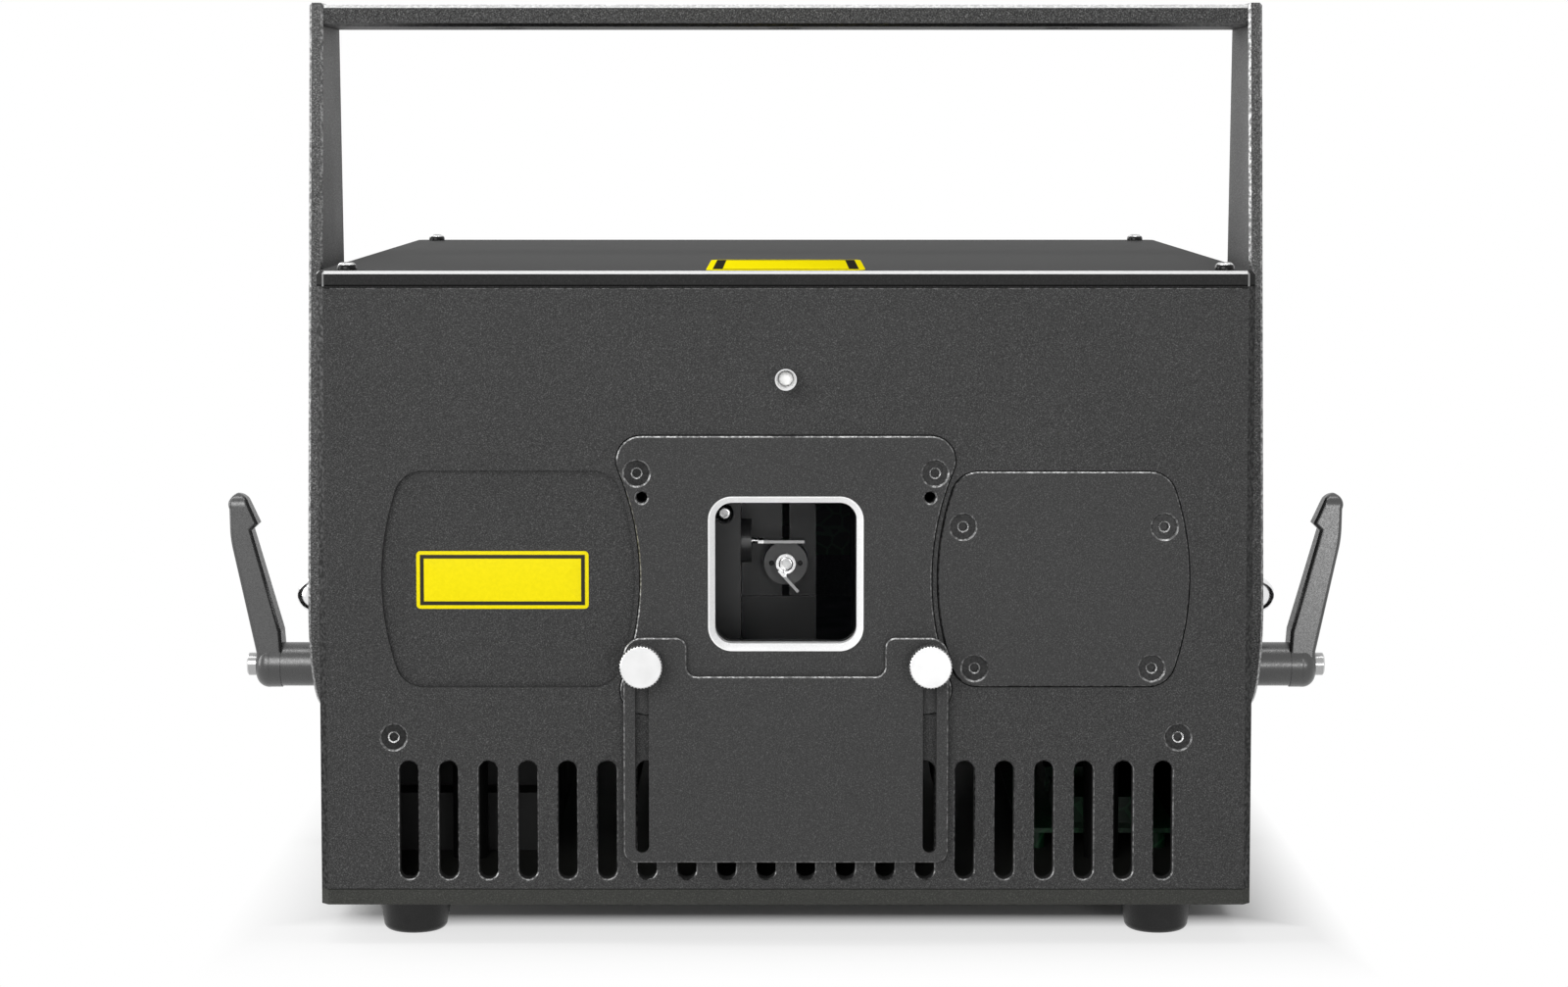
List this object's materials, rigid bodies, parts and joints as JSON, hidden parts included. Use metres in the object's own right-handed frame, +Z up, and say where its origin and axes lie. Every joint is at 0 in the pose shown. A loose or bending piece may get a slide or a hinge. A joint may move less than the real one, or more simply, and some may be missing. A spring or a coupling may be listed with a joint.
{
  "type": "laser show projector",
  "caption": "Box-shaped laser show projector in a tilting yoke, with a framed beam window, a sliding mask plate, vent slots, clamp levers and rubber feet.",
  "frame": {"origin": "under the middle of the whole part, on the surface that the feet stand on", "axes": "+Z up, +X to the right as seen from the front, +Y towards the rear sockets; the beam leaves towards -Y"},
  "size_m": [0.4124, 0.331, 0.3123],
  "materials": {
    "black_coat": "fine textured powder coat",
    "black_steel": "black oxide",
    "bright_steel": "satin",
    "bright_frame": "machined, bright",
    "plated": "polished",
    "lamp": "clear, slightly milky",
    "black_rubber": "matte",
    "clear_glass": "coated, clear",
    "mirror_face": "coated",
    "black_plastic": "satin",
    "bare_aluminium": "machined",
    "folded_steel": "zinc plated",
    "board": "solder mask"
  },
  "bodies": {
    "housing": {"base_plate": "black_coat", "lid": "black_coat", "front_panel": "black_coat", "left_side_wall": "black_coat", "right_side_wall": "black_coat", "rear_panel": "black_coat", "aperture_plate": "black_coat", "service_cover": "black_coat", "pivot_hubs": "black_coat", "lid_screws": "black_steel", "underside_screws": "black_steel", "flush_screws": "black_steel", "bench_screws": "black_steel", "pivot_washers": "bright_steel", "pivot_bolts": "bright_steel", "window_frame": "bright_frame", "lamp_bezel": "plated", "key_switch": "plated", "emission_lamp": "lamp", "rubber_feet": "black_rubber", "window_gasket": "black_rubber", "window_glass": "clear_glass", "combiner_mirrors": "mirror_face", "fan_frames": "black_plastic", "mains_inlet": "black_plastic", "round_sockets": "black_plastic", "fuse_holder": "black_plastic", "corner_posts": "bare_aluminium", "window_retainer": "bare_aluminium", "optical_bench": "bare_aluminium", "bench_pillars": "bare_aluminium", "heat_sink": "bare_aluminium", "red_laser": "bare_aluminium", "green_laser": "bare_aluminium", "blue_laser": "bare_aluminium", "combiner_mounts": "bare_aluminium", "scanner_block": "bare_aluminium", "frame_galvo": "bare_aluminium", "line_galvo": "bare_aluminium", "power_supply": "folded_steel", "fan_guards": "folded_steel", "signal_sockets": "folded_steel", "driver_board": "board", "control_board": "board"},
    "yoke": {"yoke_left_arm": "black_coat", "yoke_right_arm": "black_coat", "yoke_crossbar": "black_coat", "yoke_screws": "black_steel"},
    "left_lever": {"left_clamp_lever": "black_plastic", "left_lever_screw": "bright_steel"},
    "right_lever": {"right_clamp_lever": "black_plastic", "right_lever_screw": "bright_steel"},
    "mask": {"mask_plate": "black_coat"},
    "left_thumb": {"left_thumb_screw": "bright_steel"},
    "right_thumb": {"right_thumb_screw": "bright_steel"},
    "first_scan": {"first_mirror": "mirror_face"},
    "second_scan": {"second_mirror": "mirror_face"},
    "left_fan": {"left_fan_rotor": "black_plastic"},
    "right_fan": {"right_fan_rotor": "black_plastic"},
    "key": {"key_plug": "plated"}
  },
  "joints": [
    {"name": "yoke_tilt", "type": "hinge", "parent": "housing", "child": "yoke", "pos_m": [0, 0.00145, 0.0944], "axis": [1, 0, 0], "range_deg": [-75, 75]},
    {"name": "left_lever_turn", "type": "hinge", "parent": "housing", "child": "left_lever", "pos_m": [-0.1718, 0.00145, 0.0684], "axis": [-1, 0, 0], "range_deg": [-90, 90]},
    {"name": "right_lever_turn", "type": "hinge", "parent": "housing", "child": "right_lever", "pos_m": [0.1718, 0.00145, 0.0684], "axis": [1, 0, 0], "range_deg": [-90, 90]},
    {"name": "mask_slide", "type": "slide", "parent": "housing", "child": "mask", "axis": [0, 0, 1], "range_m": [0, 0.0597]},
    {"name": "left_thumb_turn", "type": "hinge", "parent": "housing", "child": "left_thumb", "pos_m": [-0.0469, -0.15745, 0.0933], "axis": [0, -1, 0], "range_deg": [0, 270]},
    {"name": "right_thumb_turn", "type": "hinge", "parent": "housing", "child": "right_thumb", "pos_m": [0.0469, -0.15745, 0.0933], "axis": [0, -1, 0], "range_deg": [0, 270]},
    {"name": "first_mirror_scan", "type": "hinge", "parent": "housing", "child": "first_scan", "pos_m": [0, -0.08655, 0.1174], "axis": [0, 1, 0], "range_deg": [-15, 15]},
    {"name": "second_mirror_scan", "type": "hinge", "parent": "housing", "child": "second_scan", "pos_m": [-0.0118, -0.09355, 0.1261], "axis": [1, 0, 0], "range_deg": [-60, 0]},
    {"name": "left_fan_spin", "type": "hinge", "parent": "housing", "child": "left_fan", "pos_m": [-0.055, 0.15345, 0.0411], "axis": [0, 1, 0], "continuous": true},
    {"name": "right_fan_spin", "type": "hinge", "parent": "housing", "child": "right_fan", "pos_m": [0.055, 0.15345, 0.0411], "axis": [0, 1, 0], "continuous": true},
    {"name": "key_turn", "type": "hinge", "parent": "housing", "child": "key", "pos_m": [0.084, 0.15645, 0.1111], "axis": [0, -1, 0], "range_deg": [0, 90]}
  ]
}
